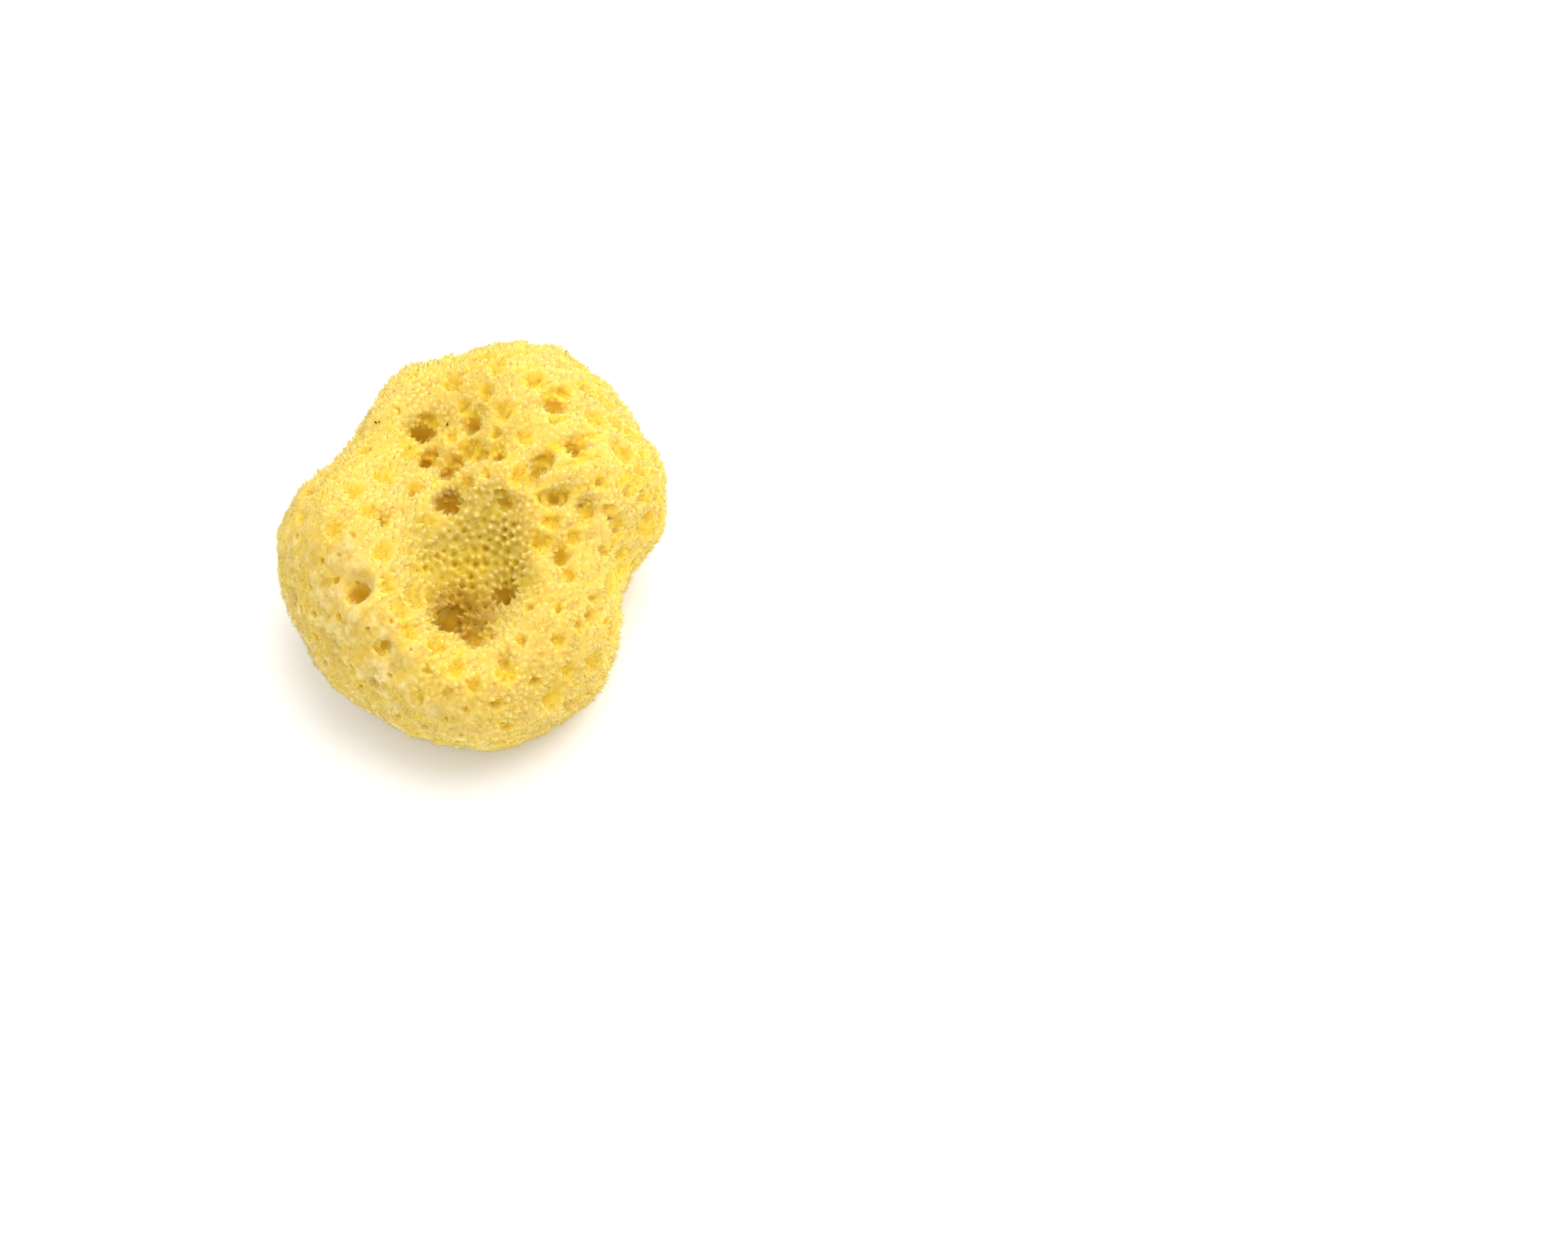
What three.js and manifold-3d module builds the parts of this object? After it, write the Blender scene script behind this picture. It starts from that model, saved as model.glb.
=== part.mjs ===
// A small natural sea sponge of the fine silk kind, in millimetres, +Z up.
// It grew as one piece: a cushion of rounded lobes around a sunken crown, pierced by the wide vents
// that its canals open through, and cut off flat underneath where it was taken from its rock.
// The origin is on the cut base, under the middle of the sponge, and +Y is its longest side.
import * as THREE from "three";
import { mergeVertices } from "three/addons/utils/BufferGeometryUtils.js";
import Module from "manifold-3d";

const MIDDLE = new THREE.Vector3(0, -2, 13); // all of the outer surface can be seen from here
const SEARCH_REACH = 60; // further from the middle than any part of the sponge
const SEARCH_STEP = 1e-4; // how closely a point of the surface is found
const SKIN_DETAIL = 13; // subdivisions of the icosahedron that carries the outer surface
const LOBE_BLEND = 6; // how far round the valley between two lobes is
const HOLLOW_BLEND = 9; // how far round the lip of a hollow is
const VENT_SIDES = 8; // sides of each vent
const VENT_RISE = 3; // how far a vent's cutter stands out of the skin
const VENT_LEAN = new THREE.Vector3(0.25, 0.28, 0.1); // what is added to the outward direction at a vent
const GROUND_SIZE = 200; // the block that cuts the base off flat

// The lobes: each is an ellipsoid, with its centre and its three radii.
const LOBES = [
  { name: "core", at: [0, -1, 15], radii: [24, 27, 20] },
  { name: "north east lobe", at: [8, 18.5, 22], radii: [16, 16, 18] },
  { name: "east lobe", at: [17, 8, 20], radii: [15, 16, 18] },
  { name: "north west lobe", at: [-6, 18, 20], radii: [15, 14, 16] },
  { name: "west lobe", at: [-15, -2, 19], radii: [17, 17, 17] },
  { name: "south west lobe", at: [-9, -14, 16], radii: [17, 15, 15] },
  { name: "south lobe", at: [2, -19.5, 15], radii: [16, 15, 14] },
  { name: "south east lobe", at: [11, -12, 16], radii: [14, 15, 16] },
  { name: "lip west of the crown", at: [-10, -15, 26], radii: [8, 8, 8] },
  { name: "brow north of the crown", at: [4, 2, 28], radii: [13, 6, 9] },
];

// The hollows: ellipsoids that press the surface in.
const HOLLOWS = [
  { name: "sunken crown", at: [2, -14, 39], radii: [12, 13, 14] },
  { name: "valley beside the west lobe", at: [-7, 10, 46], radii: [9, 16, 13] },
  { name: "notch on the north west edge", at: [-24, 25, 28], radii: [6, 3, 8] },
  { name: "waist on the east side", at: [35, -8, 17], radii: [8, 5, 14] },
];

// The vents, by where they open as seen from the middle: the compass angle is from +X towards +Y
// and the rise is above level, in degrees. The mouth is its two widths, which turn about its axis.
const VENTS = [
  // north west lobe and the valley below it
  { compass: 115, rise: 46, mouth: [6, 4.5], turn: 10, depth: 8 },
  { compass: 90, rise: 53, mouth: [4, 4], turn: 0, depth: 6 },
  { compass: 120, rise: 53, mouth: [4, 4], turn: 0, depth: 6 },
  { compass: 108, rise: 62, mouth: [4.5, 4], turn: 30, depth: 7 },
  { compass: 82, rise: 63, mouth: [3, 3], turn: 0, depth: 5 },
  { compass: 132, rise: 78, mouth: [5.5, 5], turn: 0, depth: 8 },
  { compass: 148, rise: 63, mouth: [2.6, 3.8], turn: 0, depth: 5 },
  { compass: 188, rise: 60, mouth: [3.6, 3.2], turn: 0, depth: 5 },
  // north east and east lobes
  { compass: 50, rise: 48, mouth: [4.5, 3.8], turn: 20, depth: 6 },
  { compass: 63, rise: 65, mouth: [4, 3.2], turn: 0, depth: 5 },
  { compass: 29, rise: 60, mouth: [3.6, 3.6], turn: 0, depth: 6 },
  { compass: 20, rise: 64, mouth: [2.4, 3], turn: 0, depth: 4 },
  { compass: 10, rise: 72, mouth: [3.6, 3], turn: 0, depth: 5 },
  { compass: 29, rise: 50, mouth: [4.6, 3.2], turn: 15, depth: 6 },
  { compass: 24, rise: 39, mouth: [3.6, 3.2], turn: 0, depth: 5 },
  { compass: 5, rise: 56, mouth: [3.6, 3.6], turn: 0, depth: 6 },
  { compass: 2, rise: 47, mouth: [3.2, 3.2], turn: 0, depth: 5 },
  { compass: 0, rise: 36, mouth: [3.2, 3.2], turn: 0, depth: 5 },
  // sunken crown
  { compass: -21, rise: 47, mouth: [3.6, 4], turn: 0, depth: 5 },
  { compass: -32, rise: 43, mouth: [2.4, 2.4], turn: 0, depth: 4 },
  { compass: -59, rise: 46, mouth: [4.6, 4], turn: 0, depth: 8 },
  { compass: -97, rise: 40, mouth: [4, 6], turn: -20, depth: 7 },
  { compass: -84, rise: 35, mouth: [5.5, 3.4], turn: -30, depth: 6 },
  { compass: -73, rise: 30, mouth: [3.2, 2.2], turn: 0, depth: 4 },
  // west, south and south east flanks
  { compass: -140, rise: 43, mouth: [5, 4.2], turn: 0, depth: 7 },
  { compass: -118, rise: 32, mouth: [3, 3.4], turn: 0, depth: 5 },
  { compass: -120, rise: 17, mouth: [2.4, 2.6], turn: 0, depth: 4 },
  { compass: -35, rise: 27, mouth: [3, 3], turn: 0, depth: 5 },
  { compass: -56, rise: 5, mouth: [2.8, 3.2], turn: 0, depth: 4 },
  { compass: -95, rise: -8, mouth: [3, 2.4], turn: 0, depth: 4 },
  { compass: -15, rise: 2, mouth: [3, 3.6], turn: 0, depth: 5 },
  { compass: 200, rise: 18, mouth: [2.8, 2.4], turn: 0, depth: 4 },
  { compass: 172, rise: 6, mouth: [3.4, 3], turn: 0, depth: 5 },
  { compass: 160, rise: 36, mouth: [3, 2.6], turn: 0, depth: 4 },
  // north and east sides
  { compass: 142, rise: 18, mouth: [3.6, 4.2], turn: 0, depth: 6 },
  { compass: 118, rise: 8, mouth: [4.6, 4], turn: 25, depth: 6 },
  { compass: 100, rise: 26, mouth: [5.4, 4.4], turn: 0, depth: 8 },
  { compass: 84, rise: 6, mouth: [3.6, 3.4], turn: 0, depth: 5 },
  { compass: 72, rise: 30, mouth: [4, 4.6], turn: 0, depth: 6 },
  { compass: 60, rise: 10, mouth: [4.8, 3.8], turn: -15, depth: 7 },
  { compass: 42, rise: 24, mouth: [3.8, 3.4], turn: 0, depth: 5 },
  { compass: 24, rise: 8, mouth: [4.4, 3.8], turn: 0, depth: 6 },
  { compass: 8, rise: 20, mouth: [3, 2.8], turn: 0, depth: 4 },
];

// The canals that the cut at the base lays open: where they are on it, and how wide.
const CUT_CANALS = [
  { at: [-7, 6], mouth: [4.4, 3.6], turn: 20, depth: 5 },
  { at: [7, -8], mouth: [3.6, 3], turn: -30, depth: 4 },
  { at: [6, 8], mouth: [2.8, 2.6], turn: 0, depth: 4 },
  { at: [-7, -10], mouth: [2.8, 2.4], turn: 0, depth: 4 },
];

// Half a vent's section, from its round bottom to the top of its cutter. The first number is a
// share of the mouth's width, and the second a share of the depth below the skin or of the rise above.
const VENT_SECTION = [
  [0, -1],
  [0.24, -0.94],
  [0.37, -0.72],
  [0.43, -0.42],
  [0.52, -0.14],
  [0.67, 0.08],
  [1, 1],
  [0, 1],
];

// About how far a point is outside an ellipsoid, or below zero how far inside.
function ellipsoid(p, { at, radii }) {
  const offset = [p.x - at[0], p.y - at[1], p.z - at[2]];
  const reach = Math.hypot(...offset.map((d, i) => d / radii[i]));
  const slope = Math.hypot(...offset.map((d, i) => d / radii[i] ** 2));
  return slope ? (reach * (reach - 1)) / slope : -Math.min(...radii);
}

function smoothMin(a, b, blend) {
  const share = Math.max(0, blend - Math.abs(a - b)) / blend;
  return Math.min(a, b) - (share * share * blend) / 4;
}

// Below zero inside the sponge, above zero outside it.
function field(p) {
  const full = LOBES.map((lobe) => ellipsoid(p, lobe)).reduce((a, b) => smoothMin(a, b, LOBE_BLEND));
  return HOLLOWS.reduce((a, hollow) => -smoothMin(-a, ellipsoid(p, hollow), HOLLOW_BLEND), full);
}

// The point where the ray from the middle along a unit direction leaves the sponge.
function surfacePoint(direction) {
  let inside = 0;
  let outside = SEARCH_REACH;
  const p = new THREE.Vector3();
  while (outside - inside > SEARCH_STEP) {
    const halfway = (inside + outside) / 2;
    p.copy(MIDDLE).addScaledVector(direction, halfway);
    if (field(p) < 0) inside = halfway;
    else outside = halfway;
  }
  return p;
}

// The outward direction at a point of the surface, from the slope of the field there.
function surfaceNormal(p) {
  const step = 0.5;
  const slope = ["x", "y", "z"].map((axis) => {
    const ahead = p.clone();
    const behind = p.clone();
    ahead[axis] += step;
    behind[axis] -= step;
    return field(ahead) - field(behind);
  });
  return new THREE.Vector3(...slope).normalize();
}

function outerSkin() {
  const geometry = new THREE.IcosahedronGeometry(1, SKIN_DETAIL);
  const position = geometry.getAttribute("position");
  const direction = new THREE.Vector3();
  for (let i = 0; i < position.count; i++) {
    direction.fromBufferAttribute(position, i).normalize();
    position.setXYZ(i, ...surfacePoint(direction));
  }
  return geometry;
}

// The cutter of a vent that opens at a point and goes in against the outward direction there.
function ventCutter(point, outward, { mouth, turn, depth }) {
  const profile = VENT_SECTION.map(([width, height]) => {
    const up = height < 0 ? height * depth : height * VENT_RISE;
    return new THREE.Vector2(width, up);
  });
  return new THREE.LatheGeometry(profile, VENT_SIDES)
    .scale(mouth[0], 1, mouth[1])
    .rotateY(THREE.MathUtils.degToRad(turn))
    .applyQuaternion(new THREE.Quaternion().setFromUnitVectors(new THREE.Vector3(0, 1, 0), outward))
    .translate(...point);
}

function skinVent(vent) {
  const compass = THREE.MathUtils.degToRad(vent.compass);
  const rise = THREE.MathUtils.degToRad(vent.rise);
  const level = Math.cos(rise);
  const direction = new THREE.Vector3(
    level * Math.cos(compass),
    level * Math.sin(compass),
    Math.sin(rise),
  );
  const point = surfacePoint(direction);
  return ventCutter(point, surfaceNormal(point).add(VENT_LEAN).normalize(), vent);
}

function cutCanal(canal) {
  return ventCutter(new THREE.Vector3(...canal.at, 0), new THREE.Vector3(0, 0, -1), canal);
}

const wasm = await Module();
wasm.setup();

function toSolid(geometry) {
  const bare = geometry.clone();
  bare.deleteAttribute("normal");
  bare.deleteAttribute("uv");
  const merged = mergeVertices(bare, 1e-3);
  return new wasm.Manifold(
    new wasm.Mesh({
      numProp: 3,
      vertProperties: merged.getAttribute("position").array,
      triVerts: new Uint32Array(merged.index.array),
    }),
  );
}

function toGeometry(solid) {
  const { vertProperties, triVerts } = solid.getMesh();
  const geometry = new THREE.BufferGeometry();
  geometry.setAttribute("position", new THREE.BufferAttribute(vertProperties, 3));
  geometry.setIndex(new THREE.BufferAttribute(triVerts, 1));
  geometry.computeVertexNormals();
  return geometry;
}

function spongeGeometry() {
  const ground = new THREE.BoxGeometry(GROUND_SIZE, GROUND_SIZE, GROUND_SIZE);
  ground.translate(0, 0, -GROUND_SIZE / 2);
  const cutters = [ground, ...VENTS.map(skinVent), ...CUT_CANALS.map(cutCanal)];
  const solid = cutters.reduce((body, cutter) => body.subtract(toSolid(cutter)), toSolid(outerSkin()));
  return toGeometry(solid);
}

const spongeMaterial = new THREE.MeshStandardMaterial({ color: 0xf0d060, roughness: 0.95, metalness: 0 });
const sponge = new THREE.Mesh(spongeGeometry(), spongeMaterial);
sponge.name = "sponge";

const group = new THREE.Group();
group.add(sponge);

export default group;
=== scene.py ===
import math

import bpy
import numpy as np
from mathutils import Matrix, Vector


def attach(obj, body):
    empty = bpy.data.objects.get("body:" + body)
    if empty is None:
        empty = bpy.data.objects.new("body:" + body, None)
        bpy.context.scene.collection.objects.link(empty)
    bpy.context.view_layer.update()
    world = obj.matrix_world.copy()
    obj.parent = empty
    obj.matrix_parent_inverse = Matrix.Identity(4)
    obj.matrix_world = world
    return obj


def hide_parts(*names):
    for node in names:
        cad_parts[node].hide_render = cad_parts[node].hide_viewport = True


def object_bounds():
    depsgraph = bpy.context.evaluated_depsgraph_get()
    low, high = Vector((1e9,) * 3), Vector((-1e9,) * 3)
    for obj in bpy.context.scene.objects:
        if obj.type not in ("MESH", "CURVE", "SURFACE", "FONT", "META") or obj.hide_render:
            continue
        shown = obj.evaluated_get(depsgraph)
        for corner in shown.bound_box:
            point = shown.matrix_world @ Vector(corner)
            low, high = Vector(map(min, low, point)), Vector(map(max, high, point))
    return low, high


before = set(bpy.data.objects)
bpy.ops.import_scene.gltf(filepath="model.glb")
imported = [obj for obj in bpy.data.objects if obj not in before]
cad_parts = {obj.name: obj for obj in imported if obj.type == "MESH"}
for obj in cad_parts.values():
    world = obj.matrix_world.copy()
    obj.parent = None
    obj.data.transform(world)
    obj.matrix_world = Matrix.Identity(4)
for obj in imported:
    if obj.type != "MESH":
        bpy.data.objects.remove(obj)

import openvdb as vdb
from mathutils import Vector, kdtree

MM = 0.001
cad_low, cad_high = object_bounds()
random = np.random.default_rng(11)

VOXEL = 0.36  # side of a cell of the distance field
BAND = 9  # cells each side of the surface in which distances are kept
SMOOTHING = 0.75  # how far facets are rounded off
FILLING = 0.22  # share of a wider smoothing, which fills the vents to craters
WIDE = 1.9  # how far that one rounds off, in mm
SKIN_FACES = 196000  # triangles of the finished skin
LONG_FIBRES = 20000
SHORT_FIBRES = 99000
EMBED = 0.15  # how deep a fibre's foot stands in the skin

BASE = cad_low.z / MM
box_middle = np.array((cad_low + cad_high) / 2) / MM

# Places from the middle of the CAD box, and the reach of each along X, Y and Z.
CROWN, CROWN_REACH = np.array([0.5, -8.0, 3.0]), np.array([11.5, 12.0, 16.0])
SLOT, SLOT_REACH = np.array([-1.0, -16.0, 1.0]), np.array([8.0, 5.0, 9.0])
SPECKS = np.array([(-15.3, 16.0, 11.4), (-3.3, 15.1, 12.4)])


def unit(vectors):
    return vectors / np.maximum(np.linalg.norm(vectors, axis=-1, keepdims=True), 1e-9)


def ramp(values, low, high):
    """0 up to low, 1 from high on, and a smooth step between them."""
    share = np.clip((values - low) / (high - low), 0, 1)
    return share * share * (3 - 2 * share)


# ---------------------------------------------------------------- distance field


class Field:
    """Numbers on a regular grid, with the place of the grid's first cell."""

    def __init__(self, values, first, cell):
        self.values, self.first, self.cell = values, first, cell

    def at(self, points):
        """The field at points, in mm, between its cells."""
        place = points / self.cell - self.first
        place = np.clip(place, 0, np.array(self.values.shape) - 1.001)
        low = np.floor(place).astype(int)
        share = place - low
        total = np.zeros(len(points))
        for corner in np.ndindex(2, 2, 2):
            weight = np.prod(np.where(corner, share, 1 - share), axis=1)
            total += weight * self.values[tuple((low + corner).T)]
        return total

    def slope(self, points):
        """The unit direction in which the field rises fastest."""
        steps = np.eye(3) * self.cell
        return unit(np.stack([self.at(points + s) - self.at(points - s) for s in steps], axis=1))

    def blurred(self, spread):
        """The field averaged over a Gaussian of that spread, in mm."""
        sigma = spread / self.cell
        reach = math.ceil(2.5 * sigma)
        taps = np.exp(-0.5 * (np.arange(-reach, reach + 1) / sigma) ** 2)
        taps /= taps.sum()
        values = self.values
        for axis in range(3):
            around = [(0, 0)] * 3
            around[axis] = (reach, reach)
            padded = np.pad(values, around, mode="edge")
            values = np.zeros_like(values)
            for i, tap in enumerate(taps):
                window = [slice(None)] * 3
                window[axis] = slice(i, i + self.values.shape[axis])
                values += np.float32(tap) * padded[tuple(window)]
        return Field(values, self.first, self.cell)

    def coarser(self, times):
        """Every so many cells of the field along each axis."""
        return Field(self.values[::times, ::times, ::times], self.first / times, self.cell * times)


def node_triangles(node):
    mesh = node.data
    mesh.calc_loop_triangles()
    points = np.empty(len(mesh.vertices) * 3, np.float32)
    mesh.vertices.foreach_get("co", points)
    corners = np.empty(len(mesh.loop_triangles) * 3, np.int32)
    mesh.loop_triangles.foreach_get("vertices", corners)
    return points.reshape(-1, 3) / MM, corners.reshape(-1, 3)


def distance_field(points, triangles):
    scale = vdb.createLinearTransform(voxelSize=VOXEL)
    surface = {"points": points, "triangles": triangles}
    grid = vdb.FloatGrid.createLevelSetFromPolygons(**surface, transform=scale, halfWidth=BAND)
    first = np.floor(points.min(0) / VOXEL).astype(int) - BAND - 2
    last = np.ceil(points.max(0) / VOXEL).astype(int) + BAND + 3
    values = np.empty(last - first, np.float32)
    grid.copyToArray(values, ijk=tuple(int(i) for i in first))
    return Field(values, first, VOXEL)


def surface_of(field):
    """The field's zero surface: its vertices, and its faces as triangles."""
    grid = vdb.FloatGrid(BAND * VOXEL)
    grid.copyFromArray(field.values, ijk=tuple(int(i) for i in field.first))
    grid.transform = vdb.createLinearTransform(voxelSize=field.cell)
    points, triangles, quads = grid.convertToPolygons(isovalue=0, adaptivity=0)
    faces = np.concatenate([triangles.reshape(-1, 3), quads[:, [0, 1, 2]], quads[:, [0, 2, 3]]])
    return points.astype(float), faces.astype(np.int64)


def halved(points, faces):
    """The same surface with each triangle cut into four."""
    count = len(points)
    edges = np.sort(np.concatenate([faces[:, [0, 1]], faces[:, [1, 2]], faces[:, [2, 0]]]), axis=1)
    keys, place = np.unique(edges[:, 0] * count + edges[:, 1], return_inverse=True)
    middles = (points[keys // count] + points[keys % count]) / 2
    ab, bc, ca = place.reshape(3, -1) + count
    a, b, c = faces.T
    quarters = ((a, ab, ca), (ab, b, bc), (ca, bc, c), (ab, bc, ca))
    cut = np.concatenate([np.stack(quarter, axis=1) for quarter in quarters])
    return np.concatenate([points, middles]), cut


# ---------------------------------------------------------------- noise and scattered points


def noise(points, size, seed):
    """Smooth noise from -1 to 1 whose lumps are about that size, in mm."""
    place = points / size + 1000
    low = np.floor(place).astype(np.int64)
    share = place - low
    share = share * share * (3 - 2 * share)
    total = np.zeros(len(points))
    for corner in np.ndindex(2, 2, 2):
        x, y, z = (low + corner).T
        mixed = (x * 73856093 ^ y * 19349663 ^ z * 83492791 ^ seed * 2654435761) & 0xFFFFFFFF
        mixed = (mixed ^ (mixed >> 13)) * 1274126177 & 0xFFFFFFFF
        mixed = (mixed ^ (mixed >> 16)) & 0xFFFF
        total += np.prod(np.where(corner, share, 1 - share), axis=1) * (mixed / 32767.5 - 1)
    return total


def spaced(points, spacing, candidates):
    """The candidates, taken in turn, that stay the spacing away from all those kept before. Spacing has one
    number for each point."""
    cell = float(spacing[candidates].max())
    kept = []
    boxes = {}
    keys = np.floor(points / cell).astype(int)
    around = [(i, j, k) for i in (-1, 0, 1) for j in (-1, 0, 1) for k in (-1, 0, 1)]
    for c in candidates:
        x, y, z = points[c]
        i, j, k = keys[c]
        room = spacing[c] ** 2
        near = (p for a, b, d in around for p in boxes.get((i + a, j + b, k + d), ()))
        if all((x - u) ** 2 + (y - v) ** 2 + (z - w) ** 2 >= room for u, v, w in near):
            kept.append(c)
            boxes.setdefault((i, j, k), []).append((x, y, z))
    return np.array(kept)


def nearest(points, centres, count):
    """Distances from each point to the nearest centres, and which centres they are."""
    tree = kdtree.KDTree(len(centres))
    for i, centre in enumerate(centres):
        tree.insert(centre, i)
    tree.balance()
    found = (tree.find_n(p, count) for p in points)
    numbers = (value for row in found for one in row for value in (one[2], one[1]))
    flat = np.fromiter(numbers, float, 2 * count * len(points))
    distances, which = flat.reshape(len(points), count, 2).transpose(2, 0, 1)
    return distances, which.astype(int)


def comb(places, outward):
    """The way that the points of the skin lean, along the skin, and how far."""
    x, y, z = places.T
    turn = 0.7 * noise(places, 9, 71) + 0.4 * noise(places, 3, 72)
    northward = 0.45
    cosine, sine = np.cos(turn), np.sin(turn)
    east = np.stack([cosine - northward * sine, sine + northward * cosine, 0 * turn], axis=1)
    along = east - outward * np.einsum("ij,ij->i", outward, east)[:, None]
    shoulder = ramp(x + 0.6 * y, 2, 24)
    thatch = ramp(-x, 1, 8) * ramp(x, -20, -12)
    return along * (0.35 + 0.6 * shoulder + 0.6 * thatch)[:, None]


# ---------------------------------------------------------------- meshes


def mesh_object(name, points, faces, attributes=()):
    mesh = bpy.data.meshes.new(name)
    mesh.vertices.add(len(points))
    mesh.vertices.foreach_set("co", (points * MM).astype(np.float32).ravel())
    mesh.loops.add(faces.size)
    mesh.loops.foreach_set("vertex_index", faces.astype(np.int32).ravel())
    mesh.polygons.add(len(faces))
    mesh.polygons.foreach_set("loop_start", np.arange(0, faces.size, 3, dtype=np.int32))
    mesh.polygons.foreach_set("use_smooth", np.ones(len(faces), bool))
    mesh.update(calc_edges=True)
    for label, values in dict(attributes).items():
        layer = mesh.attributes.new(label, "FLOAT", "POINT")
        layer.data.foreach_set("value", values.astype(np.float32))
    mesh.validate()
    made = bpy.data.objects.new(name, mesh)
    bpy.context.scene.collection.objects.link(made)
    return made


# ---------------------------------------------------------------- the skin

cad_points, cad_faces = node_triangles(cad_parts["sponge"])
raw_field = distance_field(cad_points, cad_faces)
smooth_field = raw_field.blurred(SMOOTHING)
smooth_field.values = (1 - FILLING) * smooth_field.values + FILLING * raw_field.blurred(WIDE).values
points, faces = halved(*surface_of(smooth_field))
points -= smooth_field.slope(points) * smooth_field.at(points)[:, None]
normals = smooth_field.slope(points)
a, b, c = (points[faces[:, i]] for i in range(3))
if np.einsum("ij,ij->", np.cross(b - a, c - a), normals[faces[:, 0]]) < 0:
    faces = faces[:, ::-1]

# How far each place lies below the skin's broad form tells the vents, and how filled its wide surroundings
# are tells the sunken crown, which is darkened with painted shade.
full = np.clip(0.5 - raw_field.values / VOXEL, 0, 1).astype(np.float32)
far_fill = Field(full, raw_field.first, VOXEL).blurred(0.4).coarser(4).blurred(4.0)
broad_field = raw_field.coarser(2).blurred(2.4)
below = -broad_field.at(points)
in_vent = ramp(below, 0.38, 0.95)
out_of_vent = 1 - in_vent
sunken = ramp(far_fill.at(points), 0.50, 0.70)
on_cut = ramp(-normals[:, 2], 0.9, 0.97) * ramp(-points[:, 2], -0.9, -0.4)
off_cut = 1 - on_cut

# The rims of the vents, and their west and south sides, from which a fringe leans over the hollow.
EAST = unit(np.array([1.0, 0.5, 0.0]))
inside = points[in_vent > 0.5][::4]
vent_gap, vent_which = nearest(points, inside, 1)
at_rim = 1 - ramp(vent_gap[:, 0], 0.5, 1.8)
off_rim = 1 - at_rim
fringe = at_rim * out_of_vent * ramp(unit(inside[vent_which[:, 0]] - points) @ EAST, 0.1, 0.7)

# Where the skin is felted smooth: the west and south flanks, which face out and down.
FELTED_SIDE = unit(np.array([-0.7, -0.62, -0.3]))
outer = unit(points - box_middle)
facing = 0.45 * (normals @ FELTED_SIDE) + 0.75 * (outer @ FELTED_SIDE)
facing += 0.25 * noise(points, 6, 3) + 0.2 * noise(points, 2.0, 4)
felted = ramp(facing, 0.30, 0.85)
tufted = out_of_vent * (1 - felted) * off_cut

# The shoulder, up and to the north-east, whose tufts are soft and combed.
shoulder = ramp(points[:, 0] + 0.6 * points[:, 1], 6, 24)

# The net of small round pits, deep in the crown and faint elsewhere, with ridges between its cells.
PIT_CANDIDATES = 60000
order = random.permutation(len(points))
from_crown = np.linalg.norm((points - (box_middle + CROWN)) / CROWN_REACH, axis=1)
net = ramp(1.25 - from_crown + 0.2 * noise(points, 4, 11), 0.0, 0.6)
pit_spacing = 1.15 + 0.25 * net + 0.25 * noise(points, 5, 21)
pits = spaced(points, pit_spacing, order[:PIT_CANDIDATES])
gaps, which = nearest(points, points[pits], 3)
wobble = 0.17 * noise(points, 0.9, 31) + 0.09 * noise(points, 0.5, 32)
pit_size = random.uniform(0.5, 0.85, len(pits))[which[:, 0]]
pit = 1 - ramp(gaps[:, 0] + wobble, 0.1 * pit_size, 1.1 * pit_size)
pit *= random.uniform(0.35, 1.0, len(pits))[which[:, 0]]
ridge = 1 - ramp(gaps[:, 1] - gaps[:, 0] + wobble, 0.0, 0.4)
knot = 1 - ramp(gaps[:, 2] - gaps[:, 0] + wobble, 0.0, 0.45)

# The conules, where the skin is drawn up to a point that leans with the comb of the skin. They are small
# near the base and on the shoulder, and large in the crown. Foot is 1 at a conule and 0 between them.
CONULE_CANDIDATES = 70000
CONULE_RADIUS = 0.68
conule_spacing = 0.95 - 0.16 * net + 0.2 * noise(points, 3, 35)
open_skin = (in_vent < 0.5) & (on_cut < 0.5) & ((knot > 0.1) | (net < 0.3))
conule_roots = spaced(points, conule_spacing, order[open_skin[order]][:CONULE_CANDIDATES])
conule_gap, conule_which = nearest(points, points[conule_roots], 1)
conule_size = random.uniform(0.4, 1.25, len(conule_roots))[conule_which[:, 0]]
conule_size *= (0.85 + 0.35 * noise(points, 4, 36)) * (1 - 0.4 * shoulder)
conule_size *= (0.5 + 0.5 * ramp(points[:, 2], 8, 24)) * (1 + 0.9 * net + 0.2 * fringe)
foot = np.clip(1 - conule_gap[:, 0] / CONULE_RADIUS, 0, 1) ** 1.3

# Shallow dimples between the vents, sharp to the west and open to the east.
DIMPLE_CANDIDATES = 30000
DIMPLE_DEPTH = 0.95
dimple_spacing = 4.4 + 1.5 * noise(points, 8, 41)
drawn = order[:DIMPLE_CANDIDATES]
dimples = spaced(points, dimple_spacing, drawn[tufted[drawn] > 0.5])
dimple_gap, dimple_which = nearest(points, points[dimples], 1)
centre = dimple_which[:, 0]
eastward = ((points - points[dimples][centre]) @ EAST) / np.maximum(dimple_gap[:, 0], 0.1)
dimple_size = random.uniform(0.9, 2.5, len(dimples))[centre]
brim = dimple_size * (1.05 + 0.35 * eastward)
dimple = 1 - ramp(dimple_gap[:, 0] + 2.5 * wobble, 0.3 * dimple_size, brim)
dimple *= tufted * (1 - 0.8 * net) * off_rim

# Streaks along the comb, fine ones everywhere and wide ones mostly on the shoulder.
stretched = points - 0.75 * (points @ EAST)[:, None] * EAST
streaks = noise(stretched, 0.45, 55)
wide_streaks = noise(stretched, 1.2, 57) * (1 - net) * (0.4 + 0.6 * shoulder)

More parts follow.
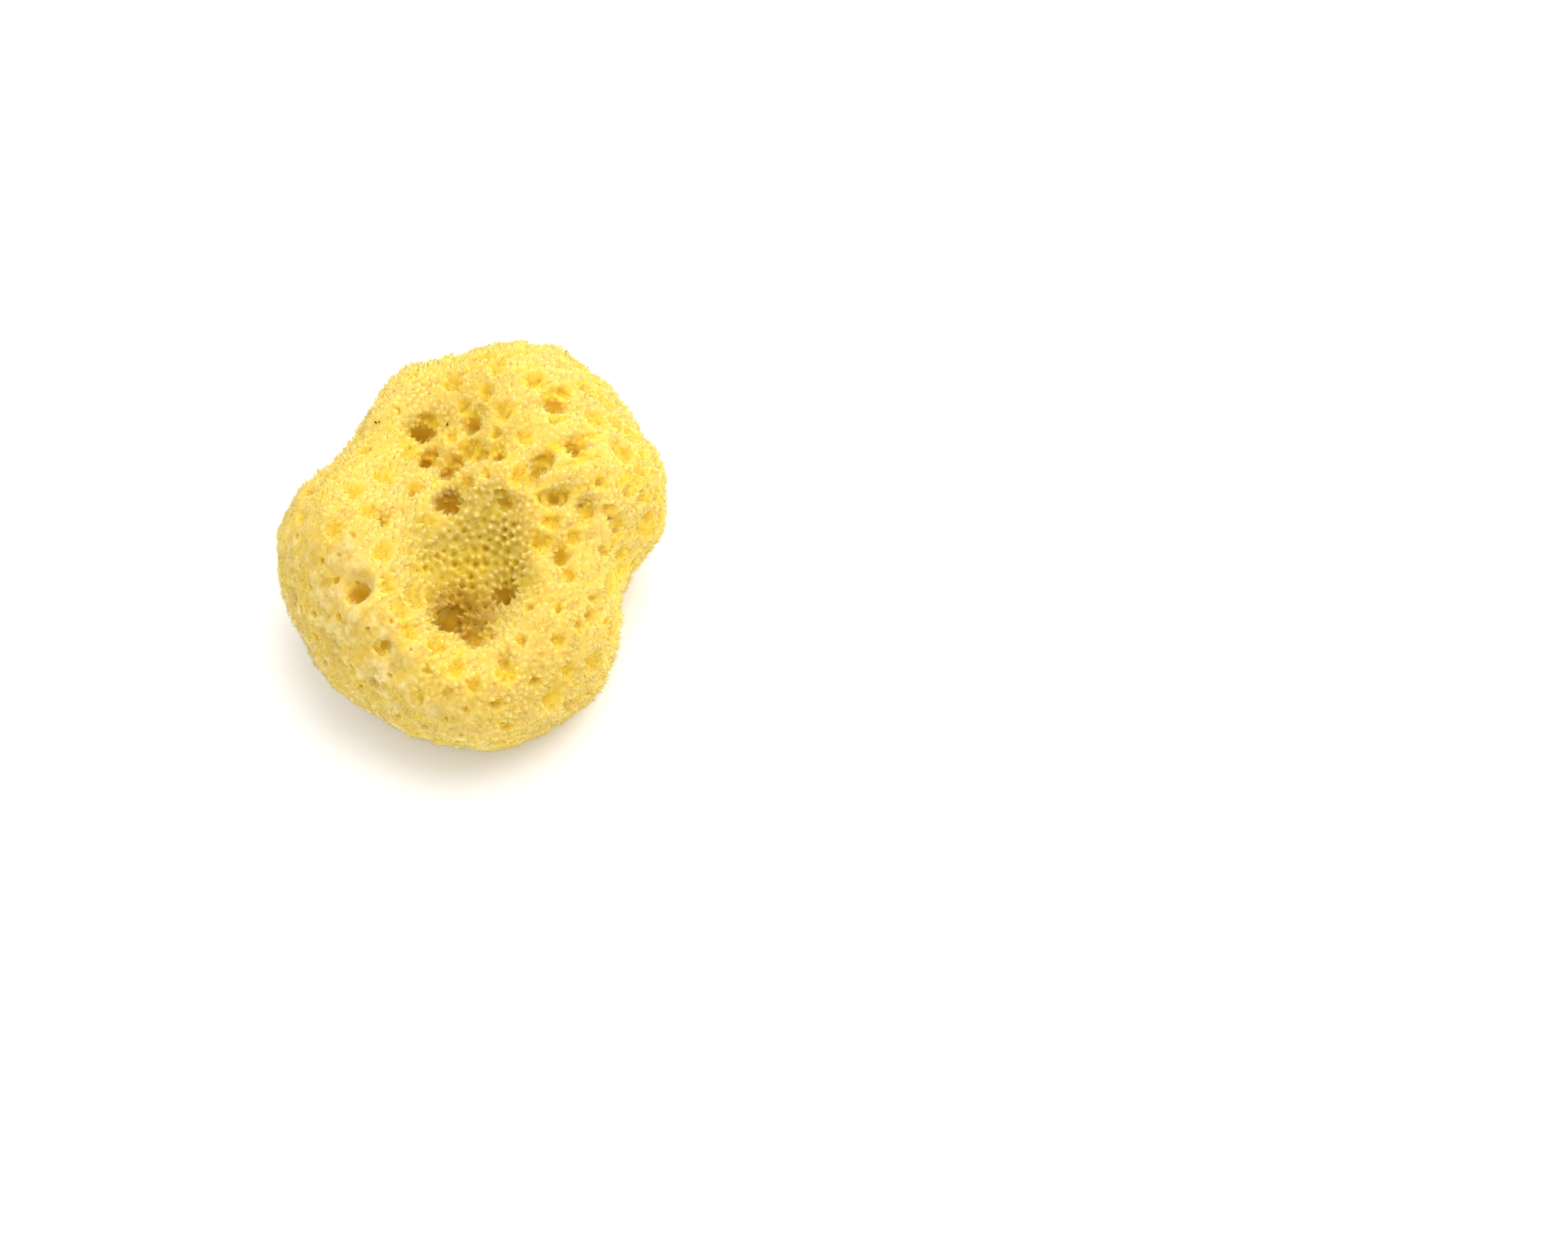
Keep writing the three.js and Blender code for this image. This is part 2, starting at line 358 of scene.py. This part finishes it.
# How far each vertex rises along its normal.
peaks = 0.75 * conule_size * foot * (1 - 0.5 * dimple)
hollows = (0.12 + 0.5 * net) * pit * off_rim
rise = tufted * (peaks - hollows + (0.08 + 0.02 * net) * ridge)
rise += tufted * (0.14 * streaks + 0.4 * wide_streaks) - DIMPLE_DEPTH * dimple

# Lumps of the whole skin, soft ridges of felt, and the roughness of the vents' walls.
felt_ridge = noise(points, 1.5, 54)
rise -= 0.15 * ramp(below, 0.0, 1.0) * off_cut
rise += 0.5 * noise(points, 6, 51) * out_of_vent * off_cut
rise += 0.3 * noise(points, 2.4, 52) * off_cut * (1 - 0.5 * in_vent)
rise += 0.12 * noise(points, 0.9, 53) * off_cut * (1 - 0.6 * in_vent)
rise += (0.3 * felt_ridge + 0.16 * noise(points, 0.55, 56)) * felted * out_of_vent * off_cut

# Pin pores in the felted skin and in the cut.
PORE_CANDIDATES = 20000
PORE_DEPTH = 0.9
pore_spacing = 3.7 + 1.9 * noise(points, 6, 61)
pores = spaced(points, pore_spacing, order[-PORE_CANDIDATES:])
pore_gap, pore_which = nearest(points, points[pores], 1)
pore_size = random.uniform(0.25, 0.8, len(pores))[pore_which[:, 0]]
pore = 1 - ramp(pore_gap[:, 0] + 2.2 * wobble, 0.3 * pore_size, 1.15 * pore_size)
pore *= np.maximum(ramp(felted, 0.1, 0.6), on_cut) * off_rim
rise -= PORE_DEPTH * pore

lean = 0.85 * foot * conule_size * tufted * (1 - 0.5 * net) * (1 - ramp(below, -0.1, 0.4))
moved = points + normals * rise[:, None]
moved += comb(points, normals) * lean[:, None]
moved[:, 2] = np.maximum(moved[:, 2], BASE)

# What the colours go by: how deep a place lies in the texture, for painted shade in the hollows; how near a
# tip or a ridge of felt, for painted light on it; and the slot south of the crown, whose painted shade is
# darkest.
# Painted shade: deeper gold in pits, pores, dimples, troughs, between the conules and down in the vents.
hollow_shade = (0.2 + 0.5 * net) * pit * tufted + 0.5 * pore + 0.5 * dimple
hollow_shade += 0.35 * ramp(-wide_streaks, 0.05, 0.6) * tufted
hollow_shade = np.clip(hollow_shade + 0.2 * (1 - foot) * tufted, 0, 1)
hollow_shade += 0.3 * ramp(-felt_ridge, 0, 0.7) * felted
hollow_shade += 0.3 * ramp(below, -0.2, 0.5) * tufted
hollow_shade = np.clip(hollow_shade, 0, 1)
# Painted light: paler on the conules' tips and on the felt's ridges.
pale = np.clip(foot * tufted * out_of_vent + 0.9 * ramp(felt_ridge, 0, 0.6) * felted, 0, 1)
# Painted shade around the slot south of the crown, the darkest of all.
from_slot = np.linalg.norm((points - box_middle - SLOT) / SLOT_REACH, axis=1)
slot = ramp(1.2 - from_slot, 0, 0.5)
slot *= 1 - felted
looks = {"hollow_shade": hollow_shade, "sunken": sunken, "pale": pale, "net": net, "in_vent": in_vent, "slot": slot}

skin = mesh_object("sponge_skin", moved, faces, looks)
decimate = skin.modifiers.new("fewer faces", "DECIMATE")
decimate.ratio = min(1, SKIN_FACES / len(faces))
seen = skin.evaluated_get(bpy.context.evaluated_depsgraph_get())
skin.data = bpy.data.meshes.new_from_object(seen)
skin.modifiers.clear()
for vertex in skin.data.vertices:
    vertex.co.z = max(vertex.co.z, cad_low.z)

# ---------------------------------------------------------------- tufts and down


def fibres(roots, middles, tips, widths, sides, levels):
    """Closed tapering fibres: for each root, rings of vertices along a curve, then a tip."""
    count = len(roots)
    across = unit(np.cross(tips - roots, unit(random.normal(size=(count, 3)))))
    other = unit(np.cross(tips - roots, across))
    turns = 2 * np.pi * np.arange(sides) / sides
    cosines, sines = np.cos(turns)[None, :, None], np.sin(turns)[None, :, None]
    round_it = across[:, None] * cosines + other[:, None] * sines
    shares = np.linspace(0, 1, levels + 1)
    rings = []
    for share in shares[:-1]:
        centre = roots * (1 - share) ** 2 + middles * 2 * share * (1 - share) + tips * share**2
        width = 0.5 * widths * (1 - share) ** 0.75
        rings.append(centre[:, None] + round_it * width[:, None, None])
    vertices = np.concatenate([*rings, tips[:, None]], axis=1)
    per_fibre = sides * levels + 1
    corners = []
    for level in range(levels - 1):
        for i in range(sides):
            first, second = level * sides + i, level * sides + (i + 1) % sides
            corners += [(first, second, second + sides), (first, second + sides, first + sides)]
    top = (levels - 1) * sides
    corners += [(top + i, top + (i + 1) % sides, per_fibre - 1) for i in range(sides)]
    corners += [(0, i + 1, i) for i in range(1, sides - 1)]
    first_vertices = per_fibre * np.arange(count)[:, None, None]
    made_faces = (np.array(corners)[None] + first_vertices).reshape(-1, 3)
    along = np.tile(np.append(np.repeat(shares[:-1], sides), 1.0), count)
    return vertices.reshape(-1, 3), made_faces, along, per_fibre


# Each conule has a tip that its fibres gather to.
c = conule_roots
spread = random.uniform(0.7, 1.25, len(c))
conule_length = 1.15 * spread * (1 + 0.4 * fringe[c]) * (1 - 0.45 * felted[c])
conule_length *= 1 - 0.25 * net[c]
conule_ways = normals[c] + comb(moved[c], normals[c]) + 0.2 * random.normal(size=(len(c), 3))
conule_tips = moved[c] + conule_length[:, None] * unit(conule_ways)


def coat(name, at, length, width, gather, flat, sides, levels):
    """A joined mesh of fibres that stand at those vertices of the skin. They gather to the tips of the
    conules, and lie flat by shares from 0 to 1."""
    outward, places = normals[at], moved[at]
    scatter = random.normal(size=places.shape)
    scatter_along = scatter - outward * np.einsum("ij,ij->i", outward, scatter)[:, None]
    ways = outward * (1 - 0.75 * flat)[:, None] + comb(places, outward)
    ways = unit(ways + (0.3 + 0.9 * flat)[:, None] * scatter_along)
    tips = places + ways * length[:, None]
    centre = conule_which[at, 0]
    share = (gather * (1 - ramp(conule_gap[at, 0], 0.5, 1.1)))[:, None]
    tips = tips * (1 - share) + (conule_tips[centre] + 0.07 * scatter) * share
    roots = places - EMBED * outward
    bulge = outward * (0.18 * length)[:, None]
    middles = (roots + tips) / 2 + bulge + 0.08 * random.normal(size=places.shape)
    widths = width * np.ones(len(at))
    vertices, fibre_faces, along, per_fibre = fibres(roots, middles, tips, widths, sides, levels)
    vertices[:, 2] = np.maximum(vertices[:, 2], BASE + 0.02)
    root_looks = {label: np.repeat(values[at], per_fibre) for label, values in looks.items()}
    return mesh_object(name, vertices, fibre_faces, {"along": along} | root_looks)


def chosen(count, weights):
    """Vertices of the skin drawn by weight, those to the north first."""
    at = random.choice(len(points), count, p=weights / weights.sum())
    return at[np.argsort(-points[at, 1])]


def north_and_south(at):
    return at[: len(at) // 2], at[len(at) // 2 :]


# Long fibres gather to the conules in tufts. They are longer at the fringes and on the shoulder.
coats = []
clear = (1 - ramp(below, -0.1, 0.25)) * off_cut
weights = clear * (0.25 + 0.75 * foot) * (1 - 0.75 * felted) * (1 - 0.8 * pit * net)
halves = north_and_south(chosen(LONG_FIBRES, weights * (1 + 0.8 * fringe)))
for name, at in zip(("tufts_north", "tufts_south"), halves):
    longer = 1 + 0.3 * fringe[at] + 0.3 * shoulder[at]
    length = random.uniform(0.38, 0.62, len(at)) * longer * (1 - 0.4 * felted[at])
    coats.append(coat(name, at, length, 0.1, gather=0.55, flat=0.7 * felted[at], sides=3, levels=2))

# Short fibres cover all of the open skin in down.
weights = clear * (0.6 + 0.4 * felted) * (1 - 0.7 * pit * net) * (1 - 0.9 * pore)
halves = north_and_south(chosen(SHORT_FIBRES, weights))
for name, at in zip(("down_north", "down_south"), halves):
    length = random.uniform(0.15, 0.36, len(at)) * (1 + felted[at])
    flat = 0.3 + 0.3 * felted[at]
    coats.append(coat(name, at, length, 0.09, gather=0.2, flat=flat, sides=3, levels=1))

# Two specks of grit are caught in the north-west.
SPECK_SIZE = 0.42
SPECK_HEIGHT = 0.4  # how far their middles stand out of the skin
OCTAHEDRON = [(0, 1, 2), (1, 3, 2), (3, 4, 2), (4, 0, 2), (1, 0, 5), (3, 1, 5), (4, 3, 5), (0, 4, 5)]


def grit(places):
    """One mesh of small rough grains, three at each place."""
    ball = np.concatenate([np.eye(3), -np.eye(3)])
    ball, sides = halved(ball, np.array(OCTAHEDRON))
    ball = unit(ball)
    all_points, all_faces = [], []
    for place in places:
        for shift in random.normal(size=(3, 3)) * 0.2:
            bulge = 0.4 + 0.15 * noise(ball + place, 0.7, 91)
            all_faces.append(sides + len(ball) * len(all_points))
            all_points.append(place + shift + ball * bulge[:, None] * SPECK_SIZE)
    return mesh_object("specks", np.concatenate(all_points), np.concatenate(all_faces))


at = nearest(box_middle + SPECKS, points, 1)[1][:, 0]
specks = grit(moved[at] + SPECK_HEIGHT * normals[at])

# ---------------------------------------------------------------- materials


def new_material(name, glow=0.0, reach=0.5):
    """A matt material, and its shader. Glow is the share of light that spreads inside, as far as the reach
    in mm, and red goes farthest."""
    material = bpy.data.materials.new(name)
    material.use_nodes = True
    shader = material.node_tree.nodes["Principled BSDF"]
    shader.inputs["Roughness"].default_value = 0.9
    shader.inputs["Specular IOR Level"].default_value = 0.06
    shader.inputs["Subsurface Weight"].default_value = glow
    shader.inputs["Subsurface Radius"].default_value = (1.0, 0.65, 0.2)
    shader.inputs["Subsurface Scale"].default_value = reach * MM
    return material, shader


def attribute(material, name):
    node = material.node_tree.nodes.new("ShaderNodeAttribute")
    node.attribute_name = name
    return node.outputs["Fac"]


def socket_named(sockets, identifier):
    return next(s for s in sockets if s.identifier == identifier)


def mixed(material, share, first, second, blend="MIX"):
    """A mix of two colours, each a socket or a plain colour, by a share that is a socket or a number."""
    node = material.node_tree.nodes.new("ShaderNodeMix")
    node.data_type = "RGBA"
    node.blend_type = blend
    for label, value in (("Factor_Float", share), ("A_Color", first), ("B_Color", second)):
        socket = socket_named(node.inputs, label)
        if isinstance(value, bpy.types.NodeSocket):
            material.node_tree.links.new(value, socket)
        else:
            socket.default_value = (*value, 1) if isinstance(value, tuple) else value
    return socket_named(node.outputs, "Result_Color")


def limited(material, value, low, high):
    """The value's place between low and high, from 0 to 1."""
    node = material.node_tree.nodes.new("ShaderNodeMapRange")
    node.inputs["From Min"].default_value = low
    node.inputs["From Max"].default_value = high
    material.node_tree.links.new(value, node.inputs["Value"])
    return node.outputs["Result"]


def patches(material, size, low, high):
    """Soft patches, from 0 to 1, about that size in mm."""
    nodes, links = material.node_tree.nodes, material.node_tree.links
    place = nodes.new("ShaderNodeTexCoord")
    texture = nodes.new("ShaderNodeTexNoise")
    texture.inputs["Scale"].default_value = 1 / (size * MM)
    texture.inputs["Detail"].default_value = 3
    links.new(place.outputs["Object"], texture.inputs["Vector"])
    return limited(material, texture.outputs["Fac"], low, high)


WISP_TIP_LIGHT = (0.88, 0.72, 0.29)  # tips of the fibres, paler with painted light
PALE_TIP_LIGHT = (0.77, 0.61, 0.25)  # painted light on the tips of the conules and the ridges of the felt
BODY = (0.71, 0.53, 0.15)  # open skin, in patches with the next
SUNNY = (0.74, 0.55, 0.12)
GOLD_SHADE = (0.80, 0.57, 0.055)  # painted shade in the hollows
AMBER_SHADE = (0.73, 0.46, 0.03)  # painted shade, darkest, in the deepest pits
VENT_GLOW = (0.90, 0.67, 0.05)  # walls of the vents, a painted glow for light shining through them
GRIT = (0.09, 0.04, 0.015)

# Painted shade: tints that darken the colour in the crown's net, in the slot and in all that is sunken.
NET_SHADE = (0.80, 0.81, 0.86)
SLOT_SHADE = (0.74, 0.62, 0.45)
SUNKEN_SHADE = (0.88, 0.78, 0.66)
PATCH_SIZE = 7


def sponge_colour(material):
    """The colour of the skin and of the fibres' feet, with painted shade where the skin is pitted or
    sunken, painted light on tips and ridges, and a painted glow on the vents' walls.
    """
    hollow_shade_here = attribute(material, "hollow_shade")
    colour = mixed(material, patches(material, PATCH_SIZE, 0.42, 0.7), BODY, SUNNY)
    # Painted light on the tips and ridges.
    colour = mixed(material, attribute(material, "pale"), colour, PALE_TIP_LIGHT)
    # Painted shade in the hollows, darkest in the deepest pits.
    colour = mixed(material, limited(material, hollow_shade_here, 0.0, 0.55), colour, GOLD_SHADE)
    colour = mixed(material, limited(material, hollow_shade_here, 0.6, 1.0), colour, AMBER_SHADE)
    # Painted shade over the crown's net, the slot and all that is sunken.
    colour = mixed(material, attribute(material, "net"), colour, NET_SHADE, "MULTIPLY")
    # A painted glow on the vents' walls.
    colour = mixed(material, attribute(material, "in_vent"), colour, VENT_GLOW)
    colour = mixed(material, attribute(material, "slot"), colour, SLOT_SHADE, "MULTIPLY")
    return mixed(material, attribute(material, "sunken"), colour, SUNKEN_SHADE, "MULTIPLY")


# Light spreads in the skin. The fibres are too thin for that, and take it straight.
material, shader = new_material("spongin skin", glow=0.9, reach=3.0)
material.node_tree.links.new(sponge_colour(material), shader.inputs["Base Color"])
skin.data.materials.append(material)

# A fine grain on the skin, below the size of its triangles.
GRAIN_SIZE = 0.35
GRAIN_DEPTH = 0.15
nodes, links = material.node_tree.nodes, material.node_tree.links
place = nodes.new("ShaderNodeTexCoord")
grain = nodes.new("ShaderNodeTexNoise")
grain.inputs["Scale"].default_value = 1 / (GRAIN_SIZE * MM)
grain.inputs["Detail"].default_value = 4
bump = nodes.new("ShaderNodeBump")
bump.inputs["Distance"].default_value = GRAIN_DEPTH * MM
bump.inputs["Strength"].default_value = 0.6
links.new(place.outputs["Object"], grain.inputs["Vector"])
links.new(grain.outputs["Fac"], bump.inputs["Height"])
links.new(bump.outputs["Normal"], shader.inputs["Normal"])

tuft_material, tuft_shader = new_material("spongin fibres")
# The fibres' feet take the skin's colours, painted shade included, and go paler towards their tips with
# painted light.
foot_colour = sponge_colour(tuft_material)
tuft_colour = mixed(tuft_material, attribute(tuft_material, "along"), foot_colour, WISP_TIP_LIGHT)
tuft_material.node_tree.links.new(tuft_colour, tuft_shader.inputs["Base Color"])
for piece in coats:
    piece.data.materials.append(tuft_material)

grit_material, grit_shader = new_material("dark grit")
grit_shader.inputs["Base Color"].default_value = (*GRIT, 1)
specks.data.materials.append(grit_material)

for piece in [skin, *coats, specks]:
    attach(piece, "root")
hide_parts("sponge")

# ---------------------------------------------------------------- floor, light and camera

FLOOR_SIDE = 3.0  # in metres
corners = np.array([(-1, -1, 0), (1, -1, 0), (1, 1, 0), (-1, 1, 0)]) * FLOOR_SIDE / 2 / MM
floor = mesh_object("floor", corners, np.array([(0, 1, 2), (0, 2, 3)]))
PALE_GREY = (0.95, 0.95, 0.95)
floor_material = bpy.data.materials.new("pale floor")
floor_material.use_nodes = True
floor_shader = floor_material.node_tree.nodes["Principled BSDF"]
floor_shader.inputs["Base Color"].default_value = (*PALE_GREY, 1)
floor_shader.inputs["Roughness"].default_value = 0.9
floor.data.materials.append(floor_material)


# One wide soft key from the north-east, high up, and even light from all round. Metres and watts.
KEY_PLACE = Vector((0.21, 0.15, 0.58))
KEY_AIM = Vector((0, 0, 0.02))
lamp = bpy.data.lights.new("key", "AREA")
lamp.shape = "DISK"
lamp.size = 0.7
lamp.energy = 3.4
key = bpy.data.objects.new("key", lamp)
key.location = KEY_PLACE
key.rotation_euler = (KEY_AIM - KEY_PLACE).to_track_quat("-Z", "Y").to_euler()
bpy.context.scene.collection.objects.link(key)
world = bpy.data.worlds.new("studio")
world.use_nodes = True
world.node_tree.nodes["Background"].inputs["Color"].default_value = (1, 1, 1, 1)
world.node_tree.nodes["Background"].inputs["Strength"].default_value = 1.04
bpy.context.scene.world = world
bpy.context.scene.view_settings.view_transform = "Standard"

# The camera looks down from the south, with the sponge to the left of its aim. Metres and mm of film.
LENS = 70
FILM_WIDTH = 36
ELEVATION = math.radians(61.5)
AIM = Vector((0.0516, -0.0051, 0))
DISTANCE = 0.519
view = bpy.data.cameras.new("camera")
view.lens = LENS
view.sensor_width = FILM_WIDTH
camera = bpy.data.objects.new("camera", view)
camera.location = AIM + DISTANCE * Vector((0, -math.cos(ELEVATION), math.sin(ELEVATION)))
camera.rotation_euler = (math.pi / 2 - ELEVATION, 0, 0)
bpy.context.scene.collection.objects.link(camera)
bpy.context.scene.camera = camera
